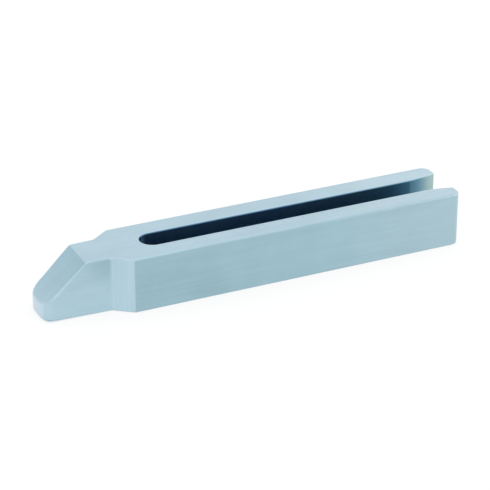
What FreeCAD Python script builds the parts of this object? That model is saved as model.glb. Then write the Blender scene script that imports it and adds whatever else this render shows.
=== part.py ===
"""Fork strap clamp: one forged steel bar with an open slot for the clamping stud,
narrowed at the front to a nose whose top slopes down to a low toe.

Millimetres. The nose points to -X, the fork opens to +X, and +Z is up.
The origin is the centre of the part's footprint, on the face that it lies on.
"""
import FreeCAD, Part
import math
import os

# Bar
LENGTH = 300.0            # toe to the tines' ends
WIDTH = 50.0
HEIGHT = 38.0

# Slot for the stud
SLOT_WIDTH = 18.0
SLOT_START = 73.0         # toe to the slot's closed end
MOUTH_LENGTH = 21.5       # stretch over which the slot opens out at the tines' ends
MOUTH_FLARE = 4.0         # how far each wall leads out by there
MOUTH_BOW = 0.75          # how far the lead-out bellies from a straight bevel

# Nose
NOSE_LENGTH = 46.0        # toe to the hollow of the shoulders
NOSE_ROOT_WIDTH = 31.0    # across the nose at the shoulders
NOSE_TIP_WIDTH = 28.0     # across the nose at the toe
SHOULDER_RUN = 12.7       # along the bar, from the hollow to the full width
TOE_BULGE = 1.2           # how far the toe's middle stands ahead of its corners
TOE_HEIGHT = 11.5         # upright face under the slope
SLOPE_RUN = 29.3          # along the bar, from the toe to the top face

# Rounds of the upright corners
TOE_CORNER_RADIUS = 8.5
SHOULDER_HOLLOW_RADIUS = 5.0
SHOULDER_EDGE_RADIUS = 1.5
TINE_OUTER_RADIUS = 6.5
TINE_INNER_RADIUS = 1.5

# Rounds of the other edges
EDGE_ROUND = 1.2          # rims of the top and bottom faces
TOE_FOOT_ROUND = 2.0      # rim of the bottom face round the nose and the toe
SLOPE_EDGE_ROUND = 2.5    # sides and foot of the sloping face
CREST_ROUND = 2.5         # where the slope meets the top face

# Places along X
TOE_X = -LENGTH / 2
END_X = LENGTH / 2
TOE_CORNER_X = TOE_X + TOE_BULGE
HOLLOW_X = TOE_X + NOSE_LENGTH
SHOULDER_X = HOLLOW_X + SHOULDER_RUN
SLOT_CLOSED_X = TOE_X + SLOT_START
SLOT_CENTRE_X = SLOT_CLOSED_X + SLOT_WIDTH / 2
MOUTH_X = END_X - MOUTH_LENGTH
CREST_X = TOE_X + SLOPE_RUN

# Half widths
HALF_WIDTH = WIDTH / 2
HALF_SLOT = SLOT_WIDTH / 2
HALF_MOUTH = HALF_SLOT + MOUTH_FLARE
HALF_ROOT = NOSE_ROOT_WIDTH / 2
HALF_TIP = NOSE_TIP_WIDTH / 2

OUT_DIR = "parts"


def at(x, y, z=0.0):
    return FreeCAD.Vector(x, y, z)


def arc(start, middle, end):
    return Part.Arc(start, middle, end).toShape()


def line(start, end):
    return Part.LineSegment(start, end).toShape()


def toe_middle(side):
    """Middle point of one half of the toe's bulge, which runs from the tip to a corner."""
    radius = (HALF_TIP**2 + TOE_BULGE**2) / (2 * TOE_BULGE)
    lean = math.asin(HALF_TIP / radius) / 2
    return at(TOE_X + radius * (1 - math.cos(lean)), side * radius * math.sin(lean))


def mouth_middle(side):
    """Middle point of the slot wall's lead-out, bellied towards the slot."""
    lean = math.atan2(MOUTH_FLARE, MOUTH_LENGTH)
    x = MOUTH_X + MOUTH_LENGTH / 2 + MOUTH_BOW * math.sin(lean)
    y = HALF_SLOT + MOUTH_FLARE / 2 - MOUTH_BOW * math.cos(lean)
    return at(x, side * y)


def flank(side):
    """Plan outline of one side: half the toe, nose, shoulder, bar, tine end and slot wall."""
    corners = [
        at(TOE_CORNER_X, side * HALF_TIP),
        at(HOLLOW_X, side * HALF_ROOT),
        at(SHOULDER_X, side * HALF_WIDTH),
        at(END_X, side * HALF_WIDTH),
        at(END_X, side * HALF_MOUTH),
    ]
    edges = [line(a, b) for a, b in zip(corners, corners[1:])]
    edges.append(arc(at(TOE_X, 0), toe_middle(side), corners[0]))
    mouth_start = at(MOUTH_X, side * HALF_SLOT)
    edges.append(arc(corners[-1], mouth_middle(side), mouth_start))
    edges.append(line(mouth_start, at(SLOT_CENTRE_X, side * HALF_SLOT)))
    return edges


def plan_face():
    slot_end = arc(
        at(SLOT_CENTRE_X, -HALF_SLOT), at(SLOT_CLOSED_X, 0), at(SLOT_CENTRE_X, HALF_SLOT)
    )
    edges = [slot_end] + flank(1) + flank(-1)
    outline = Part.Wire(Part.__sortEdges__(edges))
    return Part.Face(outline)


def upright_edges(shape, x, y):
    """Upright edges that stand at (x, y) or its mirror image."""
    found = []
    for edge in shape.Edges:
        low, high = edge.BoundBox.ZMin, edge.BoundBox.ZMax
        centre = edge.BoundBox.Center
        if high - low < HEIGHT / 2:
            continue
        if abs(centre.x - x) < 1e-3 and abs(abs(centre.y) - y) < 1e-3:
            found.append(edge)
    return found


def blank():
    """The bar at full height, with its upright corners rounded."""
    body = plan_face().extrude(at(0, 0, HEIGHT))
    rounds = [
        (TOE_CORNER_X, HALF_TIP, TOE_CORNER_RADIUS),
        (HOLLOW_X, HALF_ROOT, SHOULDER_HOLLOW_RADIUS),
        (SHOULDER_X, HALF_WIDTH, SHOULDER_EDGE_RADIUS),
        (END_X, HALF_WIDTH, TINE_OUTER_RADIUS),
        (END_X, HALF_MOUTH, TINE_INNER_RADIUS),
    ]
    for x, y, radius in rounds:
        body = body.makeFillet(radius, upright_edges(body, x, y))
    return body


def slope_cutter():
    """Wedge above the nose's sloping face, from the toe up to the crest."""
    past = WIDTH
    rise = (HEIGHT - TOE_HEIGHT) / SLOPE_RUN
    low = at(TOE_X - past, -past, TOE_HEIGHT - rise * past)
    high = at(CREST_X + past, -past, HEIGHT + rise * past)
    corner = at(TOE_X - past, -past, HEIGHT + rise * past)
    wedge = Part.Face(Part.makePolygon([low, high, corner, low]))
    return wedge.extrude(at(0, 2 * past, 0))


def crest_edges(shape):
    """The straight edge between the slope and the top face."""
    crest = []
    for edge in shape.Edges:
        box = edge.BoundBox
        if box.ZMin > HEIGHT - 1e-3 and max(abs(box.XMin - CREST_X), abs(box.XMax - CREST_X)) < 1e-3:
            crest.append(edge)
    return crest


def rim_radius(box):
    """Radius for a rim, told from the box round its edge."""
    on_slope = box.ZMin > TOE_HEIGHT / 2 and box.ZMax < HEIGHT - 1e-3
    under_nose = box.ZMax < 1e-3 and box.Center.x < (CREST_X + HOLLOW_X) / 2
    if on_slope:
        return SLOPE_EDGE_ROUND
    return TOE_FOOT_ROUND if under_nose else EDGE_ROUND


def rim_rounds(shape):
    """Number and radius of each edge but the upright ones and those across the crest."""
    rounds = []
    for number, edge in enumerate(shape.Edges, 1):
        box = edge.BoundBox
        upright = max(box.XLength, box.YLength) < 1e-3
        across = box.XLength < 1e-3 and abs(box.Center.x - CREST_X) < 2 * CREST_ROUND
        if upright or across:
            continue
        radius = rim_radius(box)
        rounds.append((number, radius, radius))
    return rounds


def clamp_body():
    body = blank().cut(slope_cutter())
    body = body.makeFillet(CREST_ROUND, crest_edges(body))
    document = FreeCAD.newDocument("clamp")
    sharp = document.addObject("Part::Feature", "sharp")
    sharp.Shape = body
    rounded = document.addObject("Part::Fillet", "rounded")
    rounded.Base = sharp
    rounded.Edges = rim_rounds(body)
    document.recompute()
    return rounded.Shape


def main():
    os.makedirs(OUT_DIR, exist_ok=True)
    body = clamp_body()
    body.exportStep(os.path.join(OUT_DIR, "clamp_body.step"))
    print("clamp_body valid", body.isValid(), "volume mm3", round(body.Volume, 1))


main()
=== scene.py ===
"""Fork strap clamp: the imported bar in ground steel, on a plain pale floor under soft studio light."""

import math

import bpy
from bpy.props import FloatProperty, FloatVectorProperty, PointerProperty
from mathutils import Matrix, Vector

bl_info = {
    "name": "Fork strap clamp",
    "version": (1, 0, 0),
    "blender": (4, 5, 0),
    "location": "3D View > Sidebar > Strap clamp",
    "description": "Gives the clamp its ground steel finish and sets the studio round it",
    "category": "Object",
}

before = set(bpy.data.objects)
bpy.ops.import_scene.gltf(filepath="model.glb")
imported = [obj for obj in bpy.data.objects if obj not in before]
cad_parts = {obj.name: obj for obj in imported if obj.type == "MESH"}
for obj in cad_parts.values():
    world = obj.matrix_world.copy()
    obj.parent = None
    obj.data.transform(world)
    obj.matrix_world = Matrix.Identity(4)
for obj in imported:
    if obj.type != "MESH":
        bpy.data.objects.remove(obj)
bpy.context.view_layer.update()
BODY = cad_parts["clamp_body"]

# The bar, in metres
HALF_LENGTH = 0.150
HALF_WIDTH = 0.025
HEIGHT = 0.038
NOSE_HALF_WIDTH = 0.0155
HOLLOW_X = -0.104
SHOULDER_X = -0.0913
SLOT_HALF_WIDTH = 0.009
SLOT_CENTRE_X = -0.068
MOUTH_X = 0.1285
MOUTH_FLARE = 0.004

# Where its finish and its painted light and shade change, in metres
SIDE_TONE_START = 0.0239  # out from the middle plane, where the sides' tone begins on the rims
SIDE_TONE_START_AT_ENDS = 0.0220
PAINTED_SHADE_REACH = 0.024  # reach of the painted shade from the top of the hollow, over the nose's side
PAINTED_SHADE_CORE = 0.004
SLOPE_TONE_LOW = 0.012  # height where the slope's tone begins to deepen
SLOPE_TONE_HIGH = 0.036
SLOT_TONE_FULL = 0.0010  # out from the slot's wall, over its rim, where the walls' painted shade fades out
SLOT_TONE_END = 0.0013
# Where the painted light on the outer faces begins, and where it is full towards the tines' ends
END_LIGHT_START_X = 0.03
END_LIGHT_FULL_X = 0.13
# Where the slot walls' painted shade begins to lighten, and where the painted light at the mouth begins
SLOT_SHADE_LIGHTENS_X = 0.03
MOUTH_LIGHT_START_X = MOUTH_X + 0.0045

# The strip of floor inside the bar's outline over which the floor's white fades out, in metres
CONTACT_STRIP = 0.005


def linear(hex_code):
    """An sRGB hex colour as linear red, green and blue."""
    channels = [int(hex_code[i : i + 2], 16) / 255 for i in (1, 3, 5)]
    return tuple(c / 12.92 if c <= 0.04045 else ((c + 0.055) / 1.055) ** 2.4 for c in channels)


def add_node(tree, kind, inputs=None, **settings):
    """Adds a node, sets its properties, and fills each input with a value or a link."""
    made = tree.nodes.new(kind)
    for name, value in settings.items():
        setattr(made, name, value)
    for name, value in (inputs or {}).items():
        if isinstance(value, bpy.types.NodeSocket):
            tree.links.new(value, made.inputs[name])
        else:
            made.inputs[name].default_value = value
    return made


def new_material(name):
    """An empty node material and its tree."""
    material = bpy.data.materials.new(name)
    material.use_nodes = True
    material.node_tree.nodes.clear()
    return material, material.node_tree


class SteelFinish(bpy.types.PropertyGroup):
    ground_tone: FloatVectorProperty(
        name="Ground tone",
        description="Colour of the ground top and bottom",
        subtype="COLOR",
        size=3,
        min=0,
        max=1,
        default=linear("#B4CEDA"),
    )
    side_tone: FloatVectorProperty(
        name="Side tone",
        description="Colour of the bar's long sides, which are left as drawn",
        subtype="COLOR",
        size=3,
        min=0,
        max=1,
        default=linear("#A1C1CC"),
    )
    # The nose's sides are milled; part of their lighter shade than the long sides is painted light from the
    # left
    nose_tone: FloatVectorProperty(
        name="Nose tone",
        description="Colour of the nose's sides, which are milled",
        subtype="COLOR",
        size=3,
        min=0,
        max=1,
        default=linear("#B2CFDB"),
    )
    # Painted light from the left, which makes the faces that look ahead lighter
    fore_painted_light_tone: FloatVectorProperty(
        name="Fore tone",
        description="Colour of the upright faces that look ahead: the shoulders and the toe's corners",
        subtype="COLOR",
        size=3,
        min=0,
        max=1,
        default=linear("#B8D3E0"),
    )
    # Painted light from the left, which makes the toe's front the lightest face
    toe_painted_light_tone: FloatVectorProperty(
        name="Toe tone",
        description="Colour of the toe's front, brightened by wear",
        subtype="COLOR",
        size=3,
        min=0,
        max=1,
        default=linear("#C6DAE4"),
    )
    slope_tone: FloatVectorProperty(
        name="Slope tone",
        description="Colour of the top of the milled slope",
        subtype="COLOR",
        size=3,
        min=0,
        max=1,
        default=linear("#9FBFCC"),
    )
    # Painted shade: the slot's walls are darkened to stand in for the shade inside the slot
    slot_painted_shade_tone: FloatVectorProperty(
        name="Slot tone",
        description="Colour of the slot's walls, dark with oil",
        subtype="COLOR",
        size=3,
        min=0,
        max=1,
        default=linear("#5B83A2"),
    )
    # A lighter painted shade on the slot's walls towards the mouth, where more light reaches in
    slot_lighter_painted_shade_tone: FloatVectorProperty(
        name="Lighter slot shade tone",
        description="Colour of the slot's walls near the mouth, where the oil is thinner",
        subtype="COLOR",
        size=3,
        min=0,
        max=1,
        default=linear("#618BA0"),
    )
    # Painted light on the slot's walls at the mouth, which opens to the light
    mouth_painted_light_tone: FloatVectorProperty(
        name="Mouth tone",
        description="Colour of the bare steel at the slot's mouth",
        subtype="COLOR",
        size=3,
        min=0,
        max=1,
        default=linear("#C0D8D0"),
    )
    # Share of the painted light at the mouth that is reached at the tines' very ends
    mouth_painted_light: FloatProperty(
        name="Mouth painted light",
        description="How far the oil has worn off at the very ends of the tines",
        min=0,
        max=1,
        subtype="FACTOR",
        default=0.66,
    )
    # Share of white painted light reached at the tines' ends
    end_painted_light: FloatProperty(
        name="End painted light",
        description="How far handling has brightened the steel at the tines' ends",
        min=0,
        max=1,
        subtype="FACTOR",
        default=0.08,
    )
    roughness: FloatProperty(
        name="Roughness",
        description="How far the ground face spreads a reflection",
        min=0,
        max=1,
        subtype="FACTOR",
        default=0.36,
    )
    grain_width: FloatProperty(
        name="Grain width",
        description="Width of a grinding line",
        unit="LENGTH",
        precision=5,
        default=0.0011,
    )
    grain_length: FloatProperty(
        name="Grain length",
        description="Length of a grinding line along the bar",
        unit="LENGTH",
        precision=4,
        default=0.045,
    )
    grain_depth: FloatProperty(
        name="Grain depth",
        description="Depth of a grinding line",
        unit="LENGTH",
        precision=6,
        default=0.00002,
    )
    patch_size: FloatProperty(
        name="Patch size",
        description="Size of the soft duller patches",
        unit="LENGTH",
        precision=4,
        default=0.03,
    )


class StudioSettings(bpy.types.PropertyGroup):
    floor_size: FloatProperty(
        name="Floor size",
        description="Side of the square floor",
        unit="LENGTH",
        default=12.0,
    )
    floor_tone: FloatVectorProperty(
        name="Floor tone",
        description="Colour of the plain paper floor",
        subtype="COLOR",
        size=3,
        min=0,
        max=1,
        default=linear("#E6E8E9"),
    )
    floor_seen_tone: FloatVectorProperty(
        name="Floor tone in view",
        description="Colour of the floor where the camera or a reflection sees it",
        subtype="COLOR",
        size=3,
        min=0,
        max=1,
        default=(1.0, 1.0, 1.0),
    )
    floor_lift: FloatProperty(
        name="Floor lift",
        description="Share of plain white in the floor where the camera or a reflection sees it",
        min=0,
        max=1,
        subtype="FACTOR",
        default=0.8,
    )
    room_level: FloatProperty(
        name="Room level",
        description="Strength of the even white light from all round",
        min=0,
        max=2,
        default=1.0,
    )
    front_power: FloatProperty(
        name="Front light", description="Power of the soft light in front", unit="POWER", default=3.0
    )
    top_power: FloatProperty(
        name="Top light", description="Power of the soft light above", unit="POWER", default=2.0
    )
    right_power: FloatProperty(
        name="Right light",
        description="Power of the soft light at the tines' ends",
        unit="POWER",
        default=1.0,
    )
    camera_turn: FloatProperty(
        name="Camera turn",
        description="Angle of the view round the bar, from square on its side",
        unit="ROTATION",
        default=math.radians(25.155),
    )
    camera_rise: FloatProperty(
        name="Camera rise",
        description="Angle of the view above the floor",
        unit="ROTATION",
        default=math.radians(26.06),
    )
    camera_distance: FloatProperty(
        name="Camera distance",
        description="From the camera to the point that it looks at",
        unit="LENGTH",
        default=1.3895,
    )
    camera_target: FloatVectorProperty(
        name="Camera target",
        description="The point that the camera looks at",
        subtype="XYZ",
        unit="LENGTH",
        default=(-0.00251, -0.00163, 0.0202),
    )
    camera_lens: FloatProperty(
        name="Lens", description="Focal length in millimetres", min=1, default=153.15
    )


def in_slot(tree, place, level):
    """1 on the slot's walls and round end and on its mouth, 0 on the faces outside, soft over the rims."""
    past_centre = add_node(
        tree, "ShaderNodeMath", {0: place["X"], 1: SLOT_CENTRE_X}, operation="SUBTRACT"
    ).outputs[0]
    past_centre = add_node(tree, "ShaderNodeMath", {0: past_centre, 1: 0.0}, operation="MINIMUM").outputs[0]
    flat = add_node(tree, "ShaderNodeCombineXYZ", {"X": past_centre, "Y": place["Y"]}).outputs[0]
    reach = add_node(tree, "ShaderNodeVectorMath", {0: flat}, operation="LENGTH").outputs["Value"]
    flare = add_node(
        tree,
        "ShaderNodeMapRange",
        {"Value": place["X"], "From Min": MOUTH_X, "From Max": HALF_LENGTH, "To Max": MOUTH_FLARE},
    ).outputs["Result"]
    reach = add_node(tree, "ShaderNodeMath", {0: reach, 1: flare}, operation="SUBTRACT").outputs[0]
    inside = add_node(
        tree,
        "ShaderNodeMapRange",
        {
            "Value": reach,
            "From Min": SLOT_HALF_WIDTH + SLOT_TONE_END,
            "From Max": SLOT_HALF_WIDTH + SLOT_TONE_FULL,
        },
    ).outputs["Result"]
    upright = add_node(
        tree,
        "ShaderNodeMapRange",
        {"Value": level, "From Min": 0.95, "From Max": 0.5},
        interpolation_type="SMOOTHSTEP",
    ).outputs["Result"]
    return add_node(tree, "ShaderNodeMath", {0: inside, 1: upright}, operation="MULTIPLY").outputs[0]


def on_long_side(tree, place, ahead):
    """1 on the bar's long sides, soft over their rims, reaching further over the rims towards the tines'
    ends.
    """
    from_middle = add_node(tree, "ShaderNodeMath", {0: place["Y"]}, operation="ABSOLUTE").outputs[0]
    begins = add_node(
        tree,
        "ShaderNodeMapRange",
        {
            "Value": place["X"],
            "From Min": 0.0,
            "From Max": HALF_LENGTH,
            "To Min": SIDE_TONE_START,
            "To Max": SIDE_TONE_START_AT_ENDS,
        },
    ).outputs["Result"]
    outermost = add_node(
        tree,
        "ShaderNodeMapRange",
        {"Value": from_middle, "From Min": begins, "From Max": HALF_WIDTH - 0.0001},
        interpolation_type="SMOOTHSTEP",
    ).outputs["Result"]
    not_ahead = add_node(tree, "ShaderNodeMath", {0: 1.0, 1: ahead}, operation="SUBTRACT").outputs[0]
    return add_node(tree, "ShaderNodeMath", {0: outermost, 1: not_ahead}, operation="MULTIPLY").outputs[0]


def on_nose_side(tree, place, facing, level):
    """1 on the nose's two sides, back to the hollow of the shoulders."""
    aside = add_node(tree, "ShaderNodeMath", {0: facing["Y"]}, operation="ABSOLUTE").outputs[0]
    broadside = add_node(
        tree, "ShaderNodeMath", {0: level, 1: 0.5, 2: aside}, operation="MULTIPLY_ADD"
    ).outputs[0]
    broadside = add_node(
        tree, "ShaderNodeMapRange", {"Value": broadside, "From Min": 0.85, "From Max": 0.95}
    ).outputs["Result"]
    before_hollow = add_node(
        tree,
        "ShaderNodeMapRange",
        {"Value": place["X"], "From Min": HOLLOW_X + 0.001, "From Max": HOLLOW_X - 0.001},
    ).outputs["Result"]
    return add_node(tree, "ShaderNodeMath", {0: broadside, 1: before_hollow}, operation="MULTIPLY").outputs[0]


def near_hollow_top(tree, place):
    """1 at the top of the hollow, falling to 0 along the nose and down it."""
    flat = add_node(tree, "ShaderNodeCombineXYZ", {"X": place["X"], "Z": place["Z"]}).outputs[0]
    away = add_node(
        tree, "ShaderNodeVectorMath", {0: flat, 1: (HOLLOW_X, 0.0, HEIGHT)}, operation="DISTANCE"
    ).outputs["Value"]
    return add_node(
        tree,
        "ShaderNodeMapRange",
        {"Value": away, "From Min": PAINTED_SHADE_REACH, "From Max": PAINTED_SHADE_CORE},
        interpolation_type="SMOOTHSTEP",
    ).outputs["Result"]


def up_slope(tree, place, facing):
    """0 off the nose's slope, and on it rising from 0.3 at the foot to 1 at the top."""
    leaning = add_node(
        tree,
        "ShaderNodeMapRange",
        {"Value": facing["X"], "From Min": -0.3, "From Max": -0.6},
        interpolation_type="SMOOTHSTEP",
    ).outputs["Result"]
    rising = add_node(
        tree,
        "ShaderNodeMapRange",
        {"Value": facing["Z"], "From Min": 0.5, "From Max": 0.7},
        interpolation_type="SMOOTHSTEP",
    ).outputs["Result"]
    height = add_node(
        tree,
        "ShaderNodeMapRange",
        {"Value": place["Z"], "From Min": SLOPE_TONE_LOW, "From Max": SLOPE_TONE_HIGH, "To Min": 0.3},
    ).outputs["Result"]
    share = add_node(tree, "ShaderNodeMath", {0: leaning, 1: rising}, operation="MULTIPLY").outputs[0]
    return add_node(tree, "ShaderNodeMath", {0: share, 1: height}, operation="MULTIPLY").outputs[0]


def outer_tone(tree, finish, place, facing, ahead, level):
    """Colour of the faces outside the slot: each kind in its own shade, the fore faces and toe lightened by
    painted light from the left and the nose partly so, with a painted shade at the top of the hollow and
    painted light towards the tines' ends.
    """
    upright = add_node(
        tree, "ShaderNodeMapRange", {"Value": level, "From Min": 0.6, "From Max": 0.3}
    ).outputs["Result"]
    on_fore = add_node(tree, "ShaderNodeMath", {0: ahead, 1: upright}, operation="MULTIPLY").outputs[0]
    square_on = add_node(
        tree, "ShaderNodeMapRange", {"Value": facing["X"], "From Min": -0.85, "From Max": -0.97}
    ).outputs["Result"]
    on_toe = add_node(tree, "ShaderNodeMath", {0: square_on, 1: upright}, operation="MULTIPLY").outputs[0]
    on_nose = on_nose_side(tree, place, facing, level)
    # Painted shade: the long sides' darker tone laid over the nose's side at the top of the hollow
    painted_shade_corner = add_node(
        tree, "ShaderNodeMath", {0: on_nose, 1: near_hollow_top(tree, place)}, operation="MULTIPLY"
    ).outputs[0]
    # Painted light: the tone brightens towards white at the tines' ends
    end_painted_light_share = add_node(
        tree,
        "ShaderNodeMapRange",
        {
            "Value": place["X"],
            "From Min": END_LIGHT_START_X,
            "From Max": END_LIGHT_FULL_X,
            "To Max": finish.end_painted_light,
        },
        interpolation_type="SMOOTHSTEP",
    ).outputs["Result"]
    tone = (*finish.ground_tone, 1.0)
    # The fore and toe tones are painted light from the left and the nose tone partly so; the side tone at the
    # top of the hollow is a painted shade, and the white towards the ends is painted light
    for share, other in (
        (on_long_side(tree, place, ahead), finish.side_tone),
        (on_fore, finish.fore_painted_light_tone),
        (on_toe, finish.toe_painted_light_tone),
        (on_nose, finish.nose_tone),
        (painted_shade_corner, finish.side_tone),
        (up_slope(tree, place, facing), finish.slope_tone),
        (end_painted_light_share, (1.0, 1.0, 1.0)),
    ):
        tone = add_node(
            tree, "ShaderNodeMix", {0: share, 6: tone, 7: (*other, 1.0)}, data_type="RGBA"
        ).outputs[2]
    return tone


def slot_wall_tone(tree, finish, place):
    """Colour of the slot's walls: a painted shade, lighter along the slot towards the mouth, and painted
    light at the mouth.
    """
    slot_shade_lightening = add_node(
        tree, "ShaderNodeMapRange", {"Value": place["X"], "From Min": SLOT_SHADE_LIGHTENS_X, "From Max": MOUTH_X}
    ).outputs["Result"]
    mouth_painted_light_share = add_node(
        tree,
        "ShaderNodeMapRange",
        {
            "Value": place["X"],
            "From Min": MOUTH_LIGHT_START_X,
            "From Max": HALF_LENGTH,
            "To Max": finish.mouth_painted_light,
        },
        interpolation_type="SMOOTHSTEP",
    ).outputs["Result"]
    tone = (*finish.slot_painted_shade_tone, 1.0)
    for share, other in ((slot_shade_lightening, finish.slot_lighter_painted_shade_tone), (mouth_painted_light_share, finish.mouth_painted_light_tone)):
        tone = add_node(
            tree, "ShaderNodeMix", {0: share, 6: tone, 7: (*other, 1.0)}, data_type="RGBA"
        ).outputs[2]
    return tone


def grinding_lines(tree, finish, spot, ahead):
    """Height of the fine lines that run along the bar, and up the faces that look ahead.

    Real ones are about 0.05 mm apart. They are drawn at the finish's wider grain, so that they show.
    """
    across = 1 / finish.grain_width
    along = 1 / finish.grain_length
    squeeze = add_node(
        tree,
        "ShaderNodeMix",
        {0: ahead, 4: (along, across, across), 5: (along, across, along)},
        data_type="VECTOR",
    ).outputs[1]
    stretched = add_node(
        tree, "ShaderNodeVectorMath", {0: spot, 1: squeeze}, operation="MULTIPLY"
    ).outputs[0]
    return add_node(
        tree, "ShaderNodeTexNoise", {"Vector": stretched, "Scale": 1.0, "Detail": 3.0, "Roughness": 0.6}
    ).outputs["Fac"]


def ground_steel(finish):
    """Surface-ground tool steel with its edges broken.

    A satin metal without mirror images. Fine lines run along the bar and soft patches are a little duller.
    The bar's long sides are left as drawn and the nose as milled, each in its own shade; part of the nose's
    lighter shade is painted light from the left. The upright faces that look ahead are painted lighter and
    the toe's front the lightest, as painted light from the left. The slot's walls carry a painted shade,
    lighter towards the mouth, with painted light at the mouth; painted light brightens the ends of the tines,
    and a painted shade darkens the nose's side at the top of the hollow.
    """
    material, tree = new_material("ground_tool_steel")
    spot = add_node(tree, "ShaderNodeTexCoord").outputs["Object"]
    place = add_node(tree, "ShaderNodeSeparateXYZ", {0: spot}).outputs
    normal = add_node(tree, "ShaderNodeNewGeometry").outputs["Normal"]
    facing = add_node(tree, "ShaderNodeSeparateXYZ", {0: normal}).outputs
    level = add_node(tree, "ShaderNodeMath", {0: facing["Z"]}, operation="ABSOLUTE").outputs[0]
    ahead = add_node(
        tree, "ShaderNodeMapRange", {"Value": facing["X"], "From Min": -0.2, "From Max": -0.5}
    ).outputs["Result"]

    outside = outer_tone(tree, finish, place, facing, ahead, level)
    wall = slot_wall_tone(tree, finish, place)
    tone = add_node(
        tree, "ShaderNodeMix", {0: in_slot(tree, place, level), 6: outside, 7: wall}, data_type="RGBA"
    ).outputs[2]

    # Lines and patches together make the tone a little uneven, and the duller spots a little rougher
    lines = grinding_lines(tree, finish, spot, ahead)
    patches = add_node(
        tree,
        "ShaderNodeTexNoise",
        {"Vector": spot, "Scale": 1 / finish.patch_size, "Detail": 4.0, "Roughness": 0.55},
    ).outputs["Fac"]
    wear = add_node(tree, "ShaderNodeMath", {0: patches, 1: lines}, operation="ADD").outputs[0]
    shade = add_node(
        tree,
        "ShaderNodeMapRange",
        {"Value": wear, "From Min": 0.7, "From Max": 1.3, "To Min": 0.95, "To Max": 1.05},
    ).outputs["Result"]
    tone = add_node(
        tree, "ShaderNodeVectorMath", {0: tone, "Scale": shade}, operation="SCALE"
    ).outputs[0]
    roughness = add_node(
        tree,
        "ShaderNodeMapRange",
        {
            "Value": wear,
            "From Min": 0.7,
            "From Max": 1.3,
            "To Min": finish.roughness + 0.03,
            "To Max": finish.roughness - 0.03,
        },
    ).outputs["Result"]
    bump = add_node(
        tree, "ShaderNodeBump", {"Strength": 0.35, "Distance": finish.grain_depth, "Height": lines}
    ).outputs["Normal"]
    shader = add_node(
        tree,
        "ShaderNodeBsdfPrincipled",
        {"Base Color": tone, "Metallic": 1.0, "Roughness": roughness, "Normal": bump},
    ).outputs["BSDF"]
    add_node(tree, "ShaderNodeOutputMaterial", {"Surface": shader})
    return material


def seen_directly(tree):
    """1 for a ray from the camera, a reflection or a refraction, and 0 for one that only lights."""
    path = add_node(tree, "ShaderNodeLightPath").outputs
    total = add_node(
        tree, "ShaderNodeMath", {0: path["Is Camera Ray"], 1: path["Is Glossy Ray"]}, operation="ADD"
    ).outputs[0]
    return add_node(
        tree,
        "ShaderNodeMath",
        {0: total, 1: path["Is Transmission Ray"]},
        operation="ADD",
        use_clamp=True,
    ).outputs[0]


def clear_of_bar(tree):
    """0 under the bar and in its slot, 1 from its outline outwards, soft over the strip just inside it."""
    spot = add_node(tree, "ShaderNodeTexCoord").outputs["Object"]
    from_middle = add_node(tree, "ShaderNodeVectorMath", {0: spot}, operation="ABSOLUTE").outputs[0]
    place = add_node(tree, "ShaderNodeSeparateXYZ", {0: spot}).outputs
    apart = add_node(tree, "ShaderNodeSeparateXYZ", {0: from_middle}).outputs
    half_width = add_node(
        tree,
        "ShaderNodeMapRange",
        {
            "Value": place["X"],
            "From Min": HOLLOW_X,
            "From Max": SHOULDER_X,
            "To Min": NOSE_HALF_WIDTH,
            "To Max": HALF_WIDTH,
        },
    ).outputs["Result"]
    beside = add_node(
        tree, "ShaderNodeMath", {0: apart["Y"], 1: half_width}, operation="SUBTRACT"
    ).outputs[0]
    beyond = add_node(
        tree, "ShaderNodeMath", {0: apart["X"], 1: HALF_LENGTH}, operation="SUBTRACT"
    ).outputs[0]
    gap = add_node(tree, "ShaderNodeMath", {0: beside, 1: beyond}, operation="MAXIMUM").outputs[0]
    return add_node(
        tree, "ShaderNodeMapRange", {"Value": gap, "From Min": -CONTACT_STRIP, "From Max": 0.0}
    ).outputs["Result"]


def paper_floor(studio):
    """Matt white studio paper, without shine: near to plain white in view, with the clamp's shadow on it."""
    material, tree = new_material("studio_paper")
    seen = seen_directly(tree)
    tone = add_node(
        tree,
        "ShaderNodeMix",
        {0: seen, 6: (*studio.floor_tone, 1.0), 7: (*studio.floor_seen_tone, 1.0)},
        data_type="RGBA",
    ).outputs[2]
    paper = add_node(tree, "ShaderNodeBsdfDiffuse", {"Color": tone, "Roughness": 0.0}).outputs["BSDF"]
    white = add_node(
        tree, "ShaderNodeEmission", {"Color": (1.0, 1.0, 1.0, 1.0), "Strength": 1.0}
    ).outputs["Emission"]
    lift = add_node(
        tree, "ShaderNodeMath", {0: seen, 1: studio.floor_lift}, operation="MULTIPLY"
    ).outputs[0]
    lift = add_node(
        tree, "ShaderNodeMath", {0: lift, 1: clear_of_bar(tree)}, operation="MULTIPLY"
    ).outputs[0]
    shader = add_node(tree, "ShaderNodeMixShader", {0: lift, 1: paper, 2: white}).outputs["Shader"]
    add_node(tree, "ShaderNodeOutputMaterial", {"Surface": shader})
    return material


def aim(thing, target):
    """Turns a lamp or camera, whose front is its -Z side, towards a point."""
    thing.rotation_euler = (target - thing.location).to_track_quat("-Z", "Y").to_euler()


def add_softbox(name, power, place, width, height):
    """A rectangular soft light that faces the clamp."""
    bpy.ops.object.light_add(type="AREA", location=place)
    lamp = bpy.context.object
    lamp.name = name
    lamp.data.name = name
    lamp.data.energy = power
    lamp.data.shape = "RECTANGLE"
    lamp.data.size = width
    lamp.data.size_y = height
    aim(lamp, Vector((0, 0, 0.02)))
    return lamp


class CLAMP_OT_finish_body(bpy.types.Operator):
    """Gives the clamp's bar its ground steel"""

    bl_idname = "clamp.finish_body"
    bl_label = "Finish the bar"

    def execute(self, context):
        material = ground_steel(context.scene.clamp_steel)
        BODY.data.materials.clear()
        BODY.data.materials.append(material)
        return {"FINISHED"}


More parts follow.
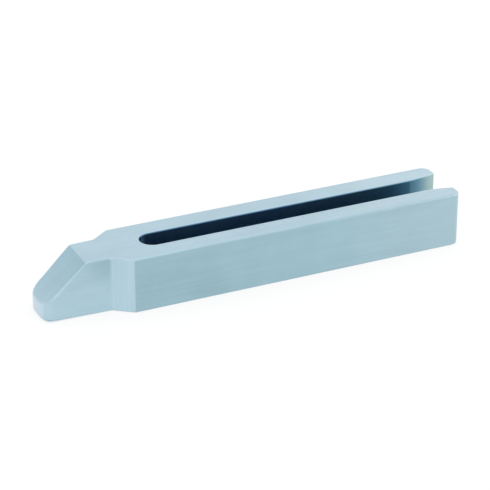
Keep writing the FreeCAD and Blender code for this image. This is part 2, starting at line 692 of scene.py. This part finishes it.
class CLAMP_OT_set_studio(bpy.types.Operator):
    """Sets the floor, the light all round, the soft lights and the camera"""

    bl_idname = "clamp.set_studio"
    bl_label = "Set the studio"

    def execute(self, context):
        studio = context.scene.clamp_studio
        self.lay_floor(studio)
        self.light_room(context, studio)
        self.place_camera(context, studio)
        context.scene.view_settings.view_transform = "Standard"
        return {"FINISHED"}

    def lay_floor(self, studio):
        bpy.ops.object.select_all(action="DESELECT")
        bpy.ops.mesh.primitive_plane_add(size=studio.floor_size)
        floor = bpy.context.object
        floor.name = "studio_floor"
        floor.data.materials.append(paper_floor(studio))

    def light_room(self, context, studio):
        world = bpy.data.worlds.new("studio_room")
        world.use_nodes = True
        tree = world.node_tree
        tree.nodes.clear()
        level = add_node(
            tree,
            "ShaderNodeMapRange",
            {"Value": seen_directly(tree), "To Min": studio.room_level, "To Max": 1.0},
        ).outputs["Result"]
        sky = add_node(
            tree, "ShaderNodeBackground", {"Color": (1.0, 1.0, 1.0, 1.0), "Strength": level}
        ).outputs["Background"]
        add_node(tree, "ShaderNodeOutputWorld", {"Surface": sky})
        context.scene.world = world
        add_softbox("front_softbox", studio.front_power, (-0.4, -1.7, 1.1), 1.8, 1.5)
        add_softbox("top_softbox", studio.top_power, (0.0, 0.2, 1.8), 1.6, 1.2)
        add_softbox("right_softbox", studio.right_power, (0.75, -0.25, 0.4), 1.0, 0.8)

    def place_camera(self, context, studio):
        turn, rise = studio.camera_turn, studio.camera_rise
        back = Vector(
            (-math.sin(turn) * math.cos(rise), -math.cos(turn) * math.cos(rise), math.sin(rise))
        )
        target = Vector(studio.camera_target)
        bpy.ops.object.camera_add(location=target + back * studio.camera_distance)
        camera = bpy.context.object
        camera.name = "photo_camera"
        camera.data.lens = studio.camera_lens
        camera.data.sensor_width = 36.0
        camera.data.clip_start = 0.05
        camera.data.clip_end = 50.0
        aim(camera, target)
        context.scene.camera = camera


class CLAMP_PT_panel(bpy.types.Panel):
    """Lists the clamp's settings and steps"""

    bl_idname = "CLAMP_PT_panel"
    bl_label = "Strap clamp"
    bl_space_type = "VIEW_3D"
    bl_region_type = "UI"
    bl_category = "Strap clamp"

    def draw(self, context):
        for group, operator in (
            (context.scene.clamp_steel, CLAMP_OT_finish_body.bl_idname),
            (context.scene.clamp_studio, CLAMP_OT_set_studio.bl_idname),
        ):
            box = self.layout.box()
            for name in group.__annotations__:
                box.prop(group, name)
            box.operator(operator)


CLASSES = (SteelFinish, StudioSettings, CLAMP_OT_finish_body, CLAMP_OT_set_studio, CLAMP_PT_panel)


def register():
    for cls in CLASSES:
        bpy.utils.register_class(cls)
    bpy.types.Scene.clamp_steel = PointerProperty(type=SteelFinish)
    bpy.types.Scene.clamp_studio = PointerProperty(type=StudioSettings)


def unregister():
    del bpy.types.Scene.clamp_studio
    del bpy.types.Scene.clamp_steel
    for cls in reversed(CLASSES):
        bpy.utils.unregister_class(cls)


def main():
    register()
    bpy.ops.clamp.finish_body()
    bpy.ops.clamp.set_studio()


if __name__ == "__main__":
    main()
